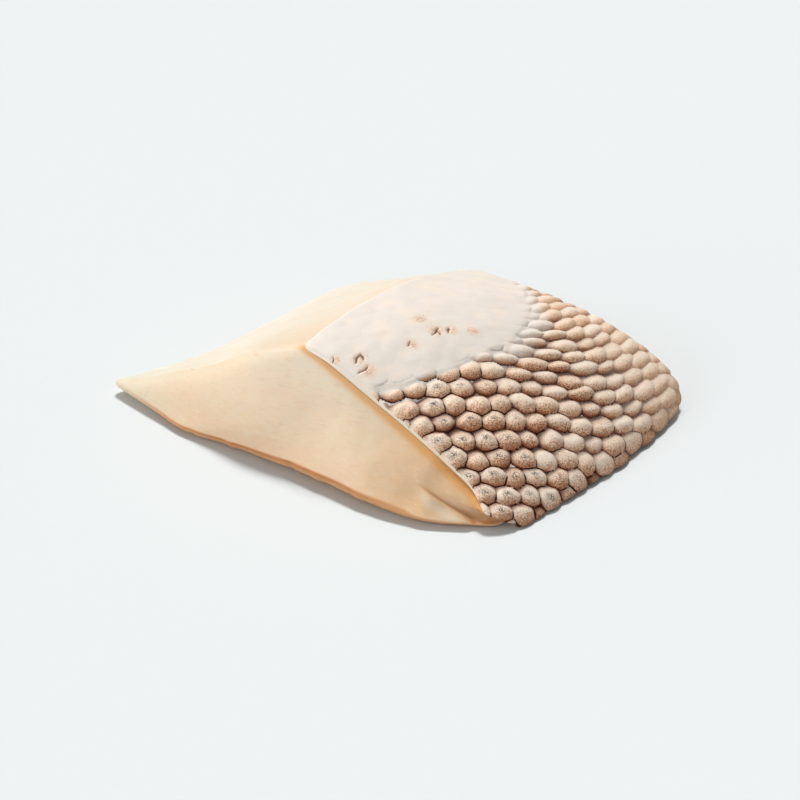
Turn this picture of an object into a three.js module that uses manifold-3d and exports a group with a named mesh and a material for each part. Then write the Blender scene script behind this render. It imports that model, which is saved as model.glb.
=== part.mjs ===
import * as THREE from 'three';
import { mergeVertices } from 'three/addons/utils/BufferGeometryUtils.js';
import Module from 'manifold-3d';

// Raw toothfish fillet portion with its skin on, cut from the side of the fish.
// Millimetres, +Z up, resting on its cut underside.
// Places on the fillet are given as across and along. Across is 0 at the back edge of the skin and
// grows towards the thin belly edge. Along is 0 at the front cut and grows towards the far cut.

// Lie of the fillet
const AXIS_TURN = 37.65;            // degrees from +Y to the fish's own axis, seen from above

// Domed top of the skin
const SKIN_WIDTH = 68.7;            // back edge to the trimmed edge
const CREST_HEIGHT = 34;            // highest point of the trimmed edge
const CREST_ALONG = 25;             // place of that highest point
const CREST_FALL = 14;              // drop of the crest over CREST_REACH
const CREST_REACH = 60;
const BACK_HEIGHT = 2.4;            // top of the skin at its back edge
const FULLNESS_FRONT = 1.42;        // roundness of the dome's section at the front cut
const FULLNESS_FAR = 3.6;           // and at the far cut
const SKIN_LENGTH = 84;
const BACK_BULGE = 7.4;             // how far the back edge bows outwards
const BACK_BULGE_ALONG = 48;
const BACK_BULGE_FALL = 4.6;        // straightening of that bow over BACK_BULGE_REACH
const BACK_BULGE_REACH = 46;

// Skin layer
const SKIN_THICKNESS = 2.2;
const SKIN_TRIM_THICKNESS = 1.2;    // along the trimmed edge
const TRIM_TAPER = 10;              // width over which the skin thins towards that edge
const SKIN_CLEARANCE = 0.6;         // lowest point of the skin above the table
const CUT_LEAN = 0.5;               // outward run of the front cut for each millimetre down
const GAP = 0.3;                    // between the skin and the flesh

// Scales
const SCALE_RISE = 1.0;             // height of a scale over the creases round it
const SCALE_SHOULDER = 0.86;        // share of that height on the ring halfway out
const SCALE_SHOULDER_AT = 0.62;     // place of that ring between the middle and the crease
const CREASE_RISE = 0.2;            // share of the height halfway along a crease
const SCALE_ROW = [-3.05, 5.2];     // step to the next scale in a row, as girth and along
const SCALE_COLUMN = [6.5, 0.6];    // step to the same scale in the next row
const SCALE_START = [15.1, 5.5];    // middle of the first scale
const SCALE_JITTER = 0.45;          // unevenness of the middles
const STRETCH_FROM = 30;            // the scales grow longer beyond here
const STRETCH = 0.008;
const NARROWING = 0.3;              // and their rows closer, by this share
const NARROWING_FROM = 25;
const NARROWING_REACH = 35;
const SEED = 20;
const QUILT_ROWS = [-8, 24];        // rows and steps of scales, which cover more than the skin
const QUILT_STEPS = [-14, 30];
const QUILT_GIRTH = [-5, 90];       // scales with their middles in here are laid
const QUILT_ALONG = [-7, 96];
const QUILT_FLOOR = -60;            // underside of the quilt before it is cut to the skin
const QUILT_COVER = 4;              // height over the skin up to which the quilt is kept

// Smooth thick band of the skin along the trimmed edge, where the scales hardly rise
const SMOOTH_FROM = 31;             // its least distance across
const SMOOTH_ALONG = 42;            // and the place of that least distance
const SMOOTH_OPENING_FRONT = 0.0085;
const SMOOTH_OPENING_FAR = 0.018;
const SMOOTH_EDGE = 6;
const SMOOTH_SHARE = 0.3;           // share of the scales' height that is left there

// Flesh
const FOOT_INSET = 2.4;             // inset of the flat underside from the widest outline
const RIM_HEIGHT = 3;               // height of that widest outline
const RIM_HEIGHTS = [               // and along the front cut, as across and height
  [2, 1.3], [12, 1.8], [20, 2.5], [30, 3.7], [45, 4.2], [62, 4.2],
  [78, 3.1], [92, 2.3], [106, 2.3], [118, 3.2], [131, 3.4],
];
const FRONT_UNDERCUT = 0.9;         // extra inset along the front cut, as a share of that height
const FRONT_BULGE = 2;              // outward bulge of the front cut beside the tip
const FRONT_BULGE_ACROSS = 99;
const FRONT_BULGE_REACH = 9;
const TIP_LIFT = 0.6;               // extra height of the outline at the pointed tip
const TIP_UNDERCUT = 2;             // extra inset of the underside there, as a share
const TIP_REACH = 20;
const GROOVE_INSET = 0.8;           // depth of the groove under the skin's cut edge
const BACK_INSET = 3.4;             // further inset of the flesh under the skin's back edge
const FRONT_SWELL = 2.4;            // outward swell of the front cut
const SIDE_SWELL = 1.6;             // outward swell of the other faces
const SWELL_FULL_AT = 16;           // height of a face that swells fully
const RIPPLE = 0.45;                // uneven surface of the cut flesh
const RIPPLE_WAVES = [              // its waves: turn across, turn along and start
  [0.09, 0.04, 1.1],
  [0.17, -0.08, 0],
];
const FOLD_LOW = [8.3, 2.0];        // lower end of the fold by the front corner: across, height
const FOLD_SLOPE = 0.36;            // climb of the fold across the front cut
const FOLD_STEP = 1.5;              // how far the flesh under the fold stands proud
const FOLD_WIDTH = 2.4;
const FOLD_SPAN = [4, 9, 22, 30];   // across: where the fold starts, is full, fades and ends

// Outlines, as corners of across, along and rounding, that match one by one from the front
// corner of the back edge round to the front cut
const SKIN_CORNERS = [
  [-3.2, 0, 5],
  [-8.6, 50, 38],
  [-3, 86.5, 12],
  [SKIN_WIDTH, SKIN_LENGTH, 7],
  [SKIN_WIDTH, 14, 8],
  [SKIN_WIDTH, 0, 3],
  [58, 0, 8],
  [13, 0, 8],
];
const BASE_CORNERS = [
  [2.2, -2.6, 2.5],
  [-4.5, 50, 40],
  [3.5, 89, 8],
  [117.5, 89, 20],
  [121.5, 14, 14],
  [131.5, -10.8, 2.5],
  [112, -14.6, 16],
  [21.5, -15.6, 12],
];
const TIP_CORNER = 5;
const CORNER_BULGE = 3.6;           // outward bulge of the skin's front cut by its low corner
const CORNER_BULGE_ACROSS = 4;
const CORNER_BULGE_REACH = 5;
const CORNER_BULGE_ALONG = 6;       // it fades out over this distance behind the cut
const CORNER_STEPS = 4;
const SIDE_STEPS = [8, 6, 12, 12, 4, 5, 12, 8];

// Rings of the faces, from the outline to the middle and from the rim to the skin
const CAP_LEVELS = [0.85, 0.68, 0.5, 0.32, 0.15];
const WALL_LEVELS = [0.12, 0.27, 0.43, 0.6, 0.77, 0.9, 0.96];
const CAP_MIDDLE = [31, 43];
const FOOT_MIDDLE = [60, 38];

function smoothStep(x) {
  const c = Math.min(Math.max(x, 0), 1);
  return c * c * (3 - 2 * c);
}

function mix(a, b, share) {
  return a + (b - a) * share;
}

function bell(x) {
  return Math.exp(-x * x);
}

function within(x, [low, high]) {
  return x > low && x < high;
}

// Value at x of a line through points of place and value
function onLine(points, x) {
  const after = points.findIndex(([place]) => place > x);
  if (after < 1) {
    return after === 0 ? points[0][1] : points.at(-1)[1];
  }
  const [[place, value], [nextPlace, nextValue]] = points.slice(after - 1, after + 1);
  return mix(value, nextValue, (x - place) / (nextPlace - place));
}

function seededRandom(seed) {
  let state = seed;
  return () => {
    state = (state * 1664525 + 1013904223) % 4294967296;
    return state / 4294967296;
  };
}

// The skin's domed surface

function backEdge(along) {
  return -BACK_BULGE + BACK_BULGE_FALL * ((along - BACK_BULGE_ALONG) / BACK_BULGE_REACH) ** 2;
}

function skinTop(across, along) {
  const crest = CREST_HEIGHT - CREST_FALL * ((along - CREST_ALONG) / CREST_REACH) ** 2;
  const share = Math.min(Math.max(along / SKIN_LENGTH, 0), 1);
  const fullness = mix(FULLNESS_FRONT, FULLNESS_FAR, share);
  const edge = backEdge(along);
  const a = (across - edge) / (SKIN_WIDTH - edge);
  return BACK_HEIGHT + (crest - BACK_HEIGHT) * (1 - Math.abs(1 - a) ** fullness);
}

function skinUnderside(across, along) {
  const taper = smoothStep((across - (SKIN_WIDTH - TRIM_TAPER)) / TRIM_TAPER);
  const thickness = mix(SKIN_THICKNESS, SKIN_TRIM_THICKNESS, taper);
  return Math.max(skinTop(across, along) - thickness, SKIN_CLEARANCE);
}

// Distance across at a given girth, which is measured over the dome from the back edge
function acrossAtGirth(girth, along) {
  const steps = 40;
  const probe = 0.05;
  let across = backEdge(along);
  for (let k = 0; k < steps; k++) {
    const slope = (skinTop(across + probe, along) - skinTop(across, along)) / probe;
    across += girth / steps / Math.hypot(1, slope);
  }
  return across;
}

function point(across, along, height) {
  return new THREE.Vector3(-across, along, height);
}

// Outlines

function roundedOutline(corners) {
  const outline = [];
  const at = (k) => new THREE.Vector2(...corners[(k + corners.length) % corners.length]);
  const reach = (k, other) => {
    const limit = at(k).distanceTo(at(other)) / 2;
    const rounding = corners[(k + corners.length) % corners.length][2];
    return at(k).lerp(at(other), Math.min(rounding, limit) / (2 * limit));
  };
  for (let k = 0; k < corners.length; k++) {
    const bend = new THREE.QuadraticBezierCurve(reach(k, k - 1), at(k), reach(k, k + 1));
    outline.push(...bend.getPoints(CORNER_STEPS - 1));
    const side = new THREE.LineCurve(reach(k, k + 1), reach(k + 1, k));
    outline.push(...side.getPoints(SIDE_STEPS[k]).slice(1, -1));
  }
  return outline;
}

function outwardNormals(outline) {
  const count = outline.length;
  return outline.map((_, i) => {
    const run = outline[(i + 1) % count].clone().sub(outline[(i + count - 1) % count]);
    return new THREE.Vector2(-run.y, run.x).normalize();
  });
}

const skinOutline = roundedOutline(SKIN_CORNERS).map((p) => {
  const bulge = CORNER_BULGE * bell((p.x - CORNER_BULGE_ACROSS) / CORNER_BULGE_REACH);
  return new THREE.Vector2(p.x, p.y - bulge * (1 - smoothStep(p.y / CORNER_BULGE_ALONG)));
});
const skinNormals = outwardNormals(skinOutline);
const baseOutline = roundedOutline(BASE_CORNERS);

// Rings over the dome, from the outline towards its middle, at heights from a given surface
function capRings(height) {
  const middle = new THREE.Vector2(...CAP_MIDDLE);
  return CAP_LEVELS.map((level) => skinOutline.map((p) => {
    const q = middle.clone().lerp(p, level);
    return point(q.x, q.y, height(q.x, q.y));
  }));
}

// Closed solid from rings of equal count, from its lowest ring up. Each four-sided cell is split
// along its shorter diagonal.
function ringSolid(rings, bottomMiddle, topMiddle) {
  const count = rings[0].length;
  const points = [bottomMiddle, topMiddle, ...rings.flat()];
  const index = [];
  const corner = (ring, i) => 2 + ring * count + (i % count);
  const last = rings.length - 1;
  for (let i = 0; i < count; i++) {
    index.push(0, corner(0, i + 1), corner(0, i));
    index.push(1, corner(last, i), corner(last, i + 1));
    for (let k = 0; k < last; k++) {
      const [a, b] = [corner(k, i), corner(k, i + 1)];
      const [c, d] = [corner(k + 1, i + 1), corner(k + 1, i)];
      const rising = points[a].distanceTo(points[c]) < points[b].distanceTo(points[d]);
      index.push(...(rising ? [a, b, c, a, c, d] : [a, b, d, b, c, d]));
    }
  }
  return indexedGeometry(points.flatMap((p) => p.toArray()), index);
}

function indexedGeometry(positions, index) {
  const geometry = new THREE.BufferGeometry();
  geometry.setAttribute('position', new THREE.Float32BufferAttribute(positions, 3));
  geometry.setIndex(index);
  return geometry;
}

// Scales: an uneven honeycomb laid over the dome

function scaleMiddles() {
  const random = seededRandom(SEED);
  const middles = new Map();
  for (let row = QUILT_ROWS[0]; row < QUILT_ROWS[1]; row++) {
    for (let step = QUILT_STEPS[0]; step < QUILT_STEPS[1]; step++) {
      const u = SCALE_START[0] + row * SCALE_COLUMN[0] + step * SCALE_ROW[0];
      const v = SCALE_START[1] + row * SCALE_COLUMN[1] + step * SCALE_ROW[1];
      const stretched = v + STRETCH * Math.max(v - STRETCH_FROM, 0) ** 2;
      const narrowed = u * (1 - NARROWING * smoothStep((v - NARROWING_FROM) / NARROWING_REACH));
      const girth = narrowed + SCALE_JITTER * (2 * random() - 1);
      const along = stretched + SCALE_JITTER * (2 * random() - 1);
      middles.set(`${row},${step}`, new THREE.Vector2(girth, along));
    }
  }
  return middles;
}

function scaleRise(across, along) {
  const offset = along - SMOOTH_ALONG;
  const opening = offset < 0 ? SMOOTH_OPENING_FRONT : SMOOTH_OPENING_FAR;
  const border = SMOOTH_FROM + opening * offset ** 2;
  const smoothness = smoothStep((across - border) / SMOOTH_EDGE);
  return SCALE_RISE * mix(1, SMOOTH_SHARE, smoothness);
}

// Point of the quilt at a place over the dome, raised by a share of the scales' height
function quiltPoint(place, share) {
  const across = acrossAtGirth(place.x, place.y);
  const rise = scaleRise(across, place.y) * (share - SCALE_SHOULDER);
  return point(across, place.y, skinTop(across, place.y) + rise);
}

function quiltSurface() {
  const middles = scaleMiddles();
  const ways = [[0, 1], [1, 1], [1, 0], [0, -1], [-1, -1], [-1, 0]];
  const positions = [];
  for (const [name, middle] of middles) {
    const [row, step] = name.split(',').map(Number);
    const around = ways.map(([r, s]) => middles.get(`${row + r},${step + s}`));
    const inside = within(middle.x, QUILT_GIRTH) && within(middle.y, QUILT_ALONG);
    if (!inside || around.includes(undefined)) {
      continue;
    }
    const corners = around.map((next, k) => {
      const later = around[(k + 1) % 6];
      return middle.clone().add(next).add(later).divideScalar(3);
    });
    const outer = corners.flatMap((corner, k) => [
      { place: corner, share: 0 },
      { place: corner.clone().lerp(corners[(k + 1) % 6], 0.5), share: CREASE_RISE },
    ]);
    const crease = outer.map(({ place, share }) => quiltPoint(place, share));
    const ring = outer.map(({ place }) => {
      return quiltPoint(middle.clone().lerp(place, SCALE_SHOULDER_AT), SCALE_SHOULDER);
    });
    const top = quiltPoint(middle, 1);
    for (let k = 0; k < 12; k++) {
      const n = (k + 1) % 12;
      const faces = [
        [top, ring[k], ring[n]],
        [ring[k], crease[k], crease[n]],
        [ring[k], crease[n], ring[n]],
      ];
      positions.push(...faces.flat().flatMap((p) => p.toArray()));
    }
  }
  const soup = new THREE.BufferGeometry();
  soup.setAttribute('position', new THREE.Float32BufferAttribute(positions, 3));
  return mergeVertices(soup, 1e-4);
}

// The quilt as a block with a flat floor well under the fillet
function quiltBlock() {
  const surface = quiltSurface();
  const top = surface.index.array;
  const places = surface.attributes.position;
  const count = places.count;
  const positions = [...places.array];
  for (let i = 0; i < count; i++) {
    positions.push(places.getX(i), places.getY(i), QUILT_FLOOR);
  }
  const edges = new Set();
  const index = [...top];
  for (let k = 0; k < top.length; k += 3) {
    const face = [top[k], top[k + 1], top[k + 2]];
    face.forEach((from, c) => edges.add(`${from},${face[(c + 1) % 3]}`));
    index.push(face[0] + count, face[2] + count, face[1] + count);
  }
  for (const edge of edges) {
    const [from, to] = edge.split(',').map(Number);
    if (!edges.has(`${to},${from}`)) {
      index.push(from + count, to + count, to, from + count, to, from);
    }
  }
  return indexedGeometry(positions, index);
}

// Skin: the quilt cut to the outline, over a smooth underside

function skinBlank() {
  const above = (across, along) => skinTop(across, along) + QUILT_COVER;
  const edge = (drop, height) => skinOutline.map((p, i) => {
    const run = CUT_LEAN * Math.max(-skinNormals[i].y, 0) * drop;
    const q = p.clone().addScaledVector(skinNormals[i], run);
    return point(q.x, q.y, height(p.x, p.y));
  });
  const rings = [
    ...capRings(skinUnderside).reverse(),
    edge(SKIN_THICKNESS, skinUnderside),
    edge(-QUILT_COVER, above),
    ...capRings(above),
  ];
  const bottom = point(...CAP_MIDDLE, skinUnderside(...CAP_MIDDLE));
  const top = point(...CAP_MIDDLE, above(...CAP_MIDDLE));
  return ringSolid(rings, bottom, top);
}

const wasm = await Module();
wasm.setup();

function toSolid(geometry) {
  return new wasm.Manifold(new wasm.Mesh({
    numProp: 3,
    vertProperties: new Float32Array(geometry.attributes.position.array),
    triVerts: new Uint32Array(geometry.index.array),
  }));
}

function toGeometry(solid) {
  const mesh = solid.getMesh();
  return indexedGeometry([...mesh.vertProperties], [...mesh.triVerts]);
}

function skinGeometry() {
  return toGeometry(toSolid(quiltBlock()).intersect(toSolid(skinBlank())));
}

// Flesh: a foot, a rounded rim, swelling cut faces, and a top that follows the skin's underside

function fleshTop(across, along) {
  return skinUnderside(across, along) - GAP;
}

// Small unevenness of the cut faces, fading out at the skin and at the rim
function ripple(across, along, level) {
  let wave = 0;
  for (const [turnAcross, turnAlong, start] of RIPPLE_WAVES) {
    wave += Math.sin(turnAcross * across + turnAlong * along + start);
  }
  return RIPPLE * wave * Math.sin(Math.PI * level);
}

// Step of the fold in the front cut, outwards below it and inwards above it
function foldStep(across, height) {
  const crease = FOLD_LOW[1] + FOLD_SLOPE * (across - FOLD_LOW[0]);
  const [start, full, fade, end] = FOLD_SPAN;
  const span = smoothStep((across - start) / (full - start)) * smoothStep((end - across) / (end - fade));
  return FOLD_STEP * (smoothStep((crease - height) / FOLD_WIDTH + 0.5) - 0.5) * span;
}

function fleshGeometry() {
  const edge = skinOutline.map((p, i) => {
    const inset = GROOVE_INSET + BACK_INSET * Math.max(-skinNormals[i].x, 0);
    const q = p.clone().addScaledVector(skinNormals[i], -inset);
    return point(q.x, q.y, fleshTop(q.x, q.y));
  });
  const tip = new THREE.Vector2(...BASE_CORNERS[TIP_CORNER]);
  const footMiddle = new THREE.Vector2(...FOOT_MIDDLE);
  const tipShare = baseOutline.map((p) => bell(p.distanceTo(tip) / TIP_REACH));
  const frontShare = skinNormals.map((normal) => Math.max(-normal.y, 0));
  const outline = baseOutline.map((p, i) => {
    const bulge = FRONT_BULGE * bell((p.x - FRONT_BULGE_ACROSS) / FRONT_BULGE_REACH);
    return p.clone().addScaledVector(skinNormals[i], bulge * frontShare[i] ** 2);
  });
  const rim = outline.map((p, i) => {
    const height = mix(RIM_HEIGHT + TIP_LIFT * tipShare[i], onLine(RIM_HEIGHTS, p.x), frontShare[i]);
    return point(p.x, p.y, Math.min(height, edge[i].z / 2));
  });
  const inward = (share, height) => outline.map((p, i) => {
    const undercut = FRONT_UNDERCUT * rim[i].z * frontShare[i] * (1 - tipShare[i]);
    const inset = share * (FOOT_INSET * (1 + TIP_UNDERCUT * tipShare[i]) + undercut);
    const q = p.clone().lerp(footMiddle, inset / p.distanceTo(footMiddle));
    return point(q.x, q.y, height * rim[i].z);
  });
  const wall = WALL_LEVELS.map((level) => rim.map((low, i) => {
    const normal = skinNormals[i];
    const front = frontShare[i];
    const back = Math.max(-normal.x, 0);
    const room = (1 - back) * smoothStep(edge[i].z / SWELL_FULL_AT);
    const swell = mix(SIDE_SWELL, FRONT_SWELL, front) * 4 * level * (1 - level);
    const p = low.clone().lerp(edge[i], level);
    const relief = (swell + ripple(-p.x, p.y, level)) * room + foldStep(-p.x, p.z) * front;
    const out = relief * Math.SQRT1_2;
    return p.add(new THREE.Vector3(-normal.x * out, normal.y * out, out));
  }));
  const foot = inward(1, 0);
  const rings = [foot, inward(0.35, 0.35), rim, ...wall, edge, ...capRings(fleshTop)];
  return ringSolid(rings, point(...FOOT_MIDDLE, 0), point(...CAP_MIDDLE, fleshTop(...CAP_MIDDLE)));
}

// Assembly

function namedMesh(name, geometry, color, roughness) {
  const material = new THREE.MeshStandardMaterial({ color, roughness, metalness: 0 });
  const mesh = new THREE.Mesh(geometry, material);
  mesh.name = name;
  return mesh;
}

const fillet = new THREE.Group();
fillet.add(namedMesh('flesh', fleshGeometry(), '#ecd3b4', 0.42));
fillet.add(namedMesh('skin', skinGeometry(), '#d3bba3', 0.6));
fillet.rotation.z = THREE.MathUtils.degToRad(-AXIS_TURN);

// The origin is under the middle of the fillet's bounding box
const bounds = new THREE.Box3().setFromObject(fillet, true);
const centre = bounds.getCenter(new THREE.Vector3());
fillet.position.set(-centre.x, -centre.y, -bounds.min.z);

const portion = new THREE.Group();
portion.add(fillet);

export default portion;
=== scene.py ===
import math

import bpy
import numpy as np
from bpy.props import FloatProperty, FloatVectorProperty, IntProperty, PointerProperty
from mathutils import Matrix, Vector, noise


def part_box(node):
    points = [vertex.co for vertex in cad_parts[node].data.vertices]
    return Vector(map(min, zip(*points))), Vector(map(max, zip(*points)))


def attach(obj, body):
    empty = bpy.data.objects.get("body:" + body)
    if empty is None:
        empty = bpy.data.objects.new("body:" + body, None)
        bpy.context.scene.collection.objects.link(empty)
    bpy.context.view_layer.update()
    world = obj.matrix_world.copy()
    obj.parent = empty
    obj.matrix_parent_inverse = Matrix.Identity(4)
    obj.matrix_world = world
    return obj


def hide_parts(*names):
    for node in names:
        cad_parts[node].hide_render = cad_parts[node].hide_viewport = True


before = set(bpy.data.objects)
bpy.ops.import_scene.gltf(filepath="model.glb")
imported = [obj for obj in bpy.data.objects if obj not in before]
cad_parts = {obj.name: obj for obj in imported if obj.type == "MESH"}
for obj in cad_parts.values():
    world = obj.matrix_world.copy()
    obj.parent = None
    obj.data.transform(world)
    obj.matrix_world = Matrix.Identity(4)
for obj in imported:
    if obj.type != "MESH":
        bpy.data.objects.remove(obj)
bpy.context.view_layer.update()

bl_info = {
    "name": "Toothfish Fillet Portion",
    "version": (1, 0, 0),
    "blender": (4, 5, 0),
    "location": "3D View > Sidebar > Fillet",
    "description": "Builds a raw skin-on portion of toothfish fillet on a pale studio floor",
    "category": "Add Mesh",
}

# Places on the fillet are given in millimetres as across and along. Across is 0 at the back edge of
# the skin and grows towards the thin belly edge. Along is 0 at the front cut and grows towards the
# far cut. The forms repeat those of the CAD solids, so that each piece sits where its node is.

MM = 0.001
AXIS_TURN = 37.65  # degrees from +Y to the fish's own axis, seen from above

# Domed top of the skin
CREST_ALONG = 25  # highest point of the trimmed edge
CREST_FALL = 14  # drop of the crest over CREST_REACH
CREST_REACH = 60
BACK_HEIGHT = 2.4  # top of the skin at its back edge
FULLNESS_FRONT = 1.42  # roundness of the dome at the front cut
FULLNESS_FAR = 3.6  # and at the far cut
SKIN_LENGTH = 84
BACK_BULGE = 7.4  # how far the back edge bows outwards
BACK_BULGE_ALONG = 48
BACK_BULGE_FALL = 4.6  # straightening of that bow over BACK_BULGE_REACH
BACK_BULGE_REACH = 46
SKIN_TRIM_THICKNESS = 1.2  # along the trimmed edge
TRIM_TAPER = 10  # the skin thins over this width
SKIN_CLEARANCE = 0.6  # lowest point of the skin above the table
CUT_LEAN = 0.5  # outward run of the front cut for each millimetre down
CUT_BULGE = 0.25  # roundness of the skin's cut edge
CUT_SHOULDER = 0.35  # rounding of its upper edge
CUT_SHOULDER_REACH = 0.45
CUT_FLAT = 0.8  # the scales flatten this near to the front cut
CUT_FLAT_TO = (-0.2, 0.7)  # to this height, and how fully
CUT_PALE = (0.36, 2.2, 0.3)  # start of its pale strip, and size and reach of the wander
CORNER_THIN = 0.9  # thinning of the skin at its low front corner
TRIM_THIN = (0.7, 16)  # the trimmed edge is thinner at the front cut, its taper longer
EDGE_DROOP = 1.3  # the back edge and the far edge curl down by this much
EDGE_CURL = 1.5  # and in by this much underneath
EDGE_REACH = 1.8  # reach of that curl
EDGE_FLAT = (4, 0.5)  # reach and share of the flattening of the scales there

# Honeycomb of the scales, as girth over the dome and along
SCALE_ROW = (-3.05, 5.2)  # step to the next scale in a row
SCALE_COLUMN = (6.5, 0.6)  # step to the same scale in the next row
SCALE_START = (15.1, 5.5)  # middle of the first scale
SCALE_JITTER = 0.6  # unevenness of the middles
STRETCH_FROM = 30  # the scales grow longer beyond here
STRETCH = 0.008
NARROWING = 0.3  # and their rows closer, by this share
NARROWING_ALONG = (25, 35)
SCALE_ROWS = range(-8, 24)
SCALE_STEPS = range(-14, 30)
SCALE_TOP = 0.3  # height of the scales' tops over the plain dome
SCALE_GRAIN = ((1.6, 0.12), (0.7, 0.07))  # size and height of the fine lumps on them
FLAT = (44, 34)  # the scales grow flatter from here along, over this distance
FLAT_SHARE = 0.5  # down to this share of their height
NEAR = (10, 24)  # full near look up to here along, and the run over which it ends
NEAR_RISE = 1.15  # height of the near scales, as a share of the plain height
CRUMPLED_ALONG = (4, 9)  # middle and reach of the crumpled scales
CRUMPLED_ACROSS = (12, 8)  # and where they start, over which run
CRUMPLED_GRAIN = 0.28  # extra height of the coarse lumps there
SCALLOP_LIFT = 0.8  # a scale of this lift leaves the loose edge where it is
SCALLOP_FADE = (4, 9)  # runs over which the scallops end: into the band, to the front cut
SKIN_LEFT = 0.35  # thickness that is left under the deepest pits
GRID_HALF = 138  # rings of points from the middle of the skin to its edge

# Smooth thick band of the skin along the trimmed edge
SMOOTH_FROM = 31  # its least distance across
SMOOTH_ALONG = 42  # and the place of that least distance
SMOOTH_OPENING_FRONT = 0.0085
SMOOTH_OPENING_FAR = 0.018
SMOOTH_WANDER = (9, 2.5)  # size and reach of the wander of its border
FILM_DEPTH = 0.14  # depth of its film below the scales' tops, as a share of their rise
FILM_FALL = (8.75, 22.5)  # the film falls by that rise over this run outside: near and far
FILM_LUMPS = ((11, 0.3), (4, 0.13))  # size and height of its lumps
FILM_SHOW = (0.04, 0.12)  # share of the scales' relief that shows in it, and more outside
FILM_BLEND = 0.16  # rounding where the scales come out of it, and of their pits
COVER_BLEND = 0.4  # softness of its colour there
BORDER = (3, 5)  # the band's outside starts this far out, over this run
HAZE_REACH = (2, 13)  # run outside over which its pale colour fades: near and far
HAZE_ALONG = (22, 26)  # that run grows from here along, over this distance
SINK = (4, 9, 0.5)  # the scales sink from this far outside, over this run, by this share
EDGE_SHOW = (0.6, 8)  # free edges come out of it first: by this share, over this reach
LINE_DEPTH = 0.3  # depth of the creases seen in it, as a share of the scales' rise
CRACK_DEPTH = 0.4
CRACK_WIDTH = 0.42
CRACK_WANDER = (1.5, 0.5)
CRACKS = (  # across, along, turn in degrees and length of cracks in the film
    (58.8, 0.5, 60, 2.4),
    (54.2, 5.5, 75, 3.4),
    (53.6, 6.6, 20, 2.4),
    (50.6, 3.2, 100, 3.0),
    (47.2, 19.0, 85, 1.8),
    (45.2, 28.2, 80, 4.0),
    (44.6, 28.8, 20, 2.4),
    (43.3, 31.6, 60, 2.2),
)
STAINS = (  # across, along and reach of speckled brown stains round them
    (58.2, 1.2, 1.8),
    (53.8, 5.8, 2.8),
    (49.5, 4.2, 3.0),
    (46.6, 19.5, 2.4),
    (45.4, 29.0, 3.4),
    (42.6, 32.0, 2.8),
    (51.5, 29.6, 2.6),
    (38.5, 36.5, 2.6),
)

# Flesh
FOOT_MIDDLE = (60, 38)
CAP_MIDDLE = (31, 43)
TIP_LIFT = 0.6  # extra height of the rim at the pointed tip
TIP_UNDERCUT = 2  # extra inset of the underside there, as a share
TIP_REACH = 20
FRONT_UNDERCUT = 0.9  # extra inset along the front cut, as a share of the rim's height
RIM_HEIGHTS = (  # across and height of the rim along the front cut
    (2, 1.3), (12, 1.8), (20, 2.5), (30, 3.7), (45, 4.2), (62, 4.2), (78, 3.1), (92, 2.3),
    (106, 2.3), (118, 3.2), (131, 3.4),
)
TIP_BAY = (99, 9, 2.0)  # bulge of the rim beside the tip: across, reach and depth
RIM_NICKS = ((83.2, 0.6), (62.0, -0.5), (52.6, 0.5), (97, -0.4), (38, 0.4))  # across, depth
RIM_LUMPS = ((7, 0.35),)  # size and height of its lumps
NICK_REACH = 1.3
BACK_INSET = 3.4  # inset of the flesh under the skin's back edge
EDGE_TUCK = 0.15  # how far the flesh stops inside the lower edge of the skin's cut
SKIN_REST = 0.04  # clearance between the flesh and the skin lying on it
SWELL_FULL_AT = 16  # height of a face that swells fully
RIPPLE_WAVES = ((0.09, 0.04, 1.1), (0.17, -0.08, 0))
WALL_LUMPS = ((15, 0.5), (4.5, 0.14), (1.8, 0.05))  # size and height of lumps on the cut faces
RIM_ROWS = 8  # rings of points of the rounded rim, and of the cut faces
WALL_ROWS = 76
WALL_SMOOTHING = 22  # the outlines blend into each other over this many points
POINT_SPACING = 0.6
FOLD_LOW = (8.3, 2.0)  # lower end of the fold by the front corner: across, height
FOLD_SLOPE = 0.36  # climb of the fold across the front cut
FOLD_WIDTH = 0.6
FOLD_SPAN = (4, 9, 18, 24)  # across: where the fold starts, is full, fades and ends
STREAK = ((22.2, -6.9, 7.3), (21.7, -3.7, 9.8))  # ends of the pale streak above the fold

CUT_LEVELS = (0.12, 0.3, 0.5, 0.7, 0.88, 1.0)  # rows of points down the skin's cut edge
UNDER_LEVELS = (0.95, 0.85, 0.65, 0.35)  # and rings of points under it, towards its middle
TOP_LEVELS = (0.985, 0.94, 0.85, 0.68, 0.5, 0.32, 0.15)  # rings over the top of the flesh

# Outlines, as corners of across, along and rounding, that match one by one
SKIN_CORNERS = (
    (-3.2, 0, 5),
    (-8.6, 50, 38),
    (-3, 86.5, 12),
    (68.7, 84, 7),
    (68.7, 14, 8),
    (68.7, 0, 3),
    (58, 0, 8),
    (13, 0, 8),
)
BASE_CORNERS = (
    (2.2, -2.6, 2.5),
    (-4.5, 50, 40),
    (3.5, 89, 8),
    (117.5, 89, 20),
    (121.5, 14, 14),
    (131.5, -10.8, 2.5),
    (112, -14.6, 16),
    (21.5, -15.6, 12),
)
CORNER_POINTS, SIDE_POINTS = 41, 80  # on the skin's outline, before its even steps
SKIN_SIDES = ((5, 0), (0, 2), (2, 3), (3, 5))  # front, back, far and trimmed side, corner to corner
CORNER_BULGE = (4, 5, 3.6)  # of the skin's cut by its low corner: across, reach and depth
CORNER_BULGE_ALONG = 6  # it fades out over this distance behind the cut
CAD_CORNER_STEPS = 4  # points on a corner of the CAD outlines
TIP_CORNER = 5

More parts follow.
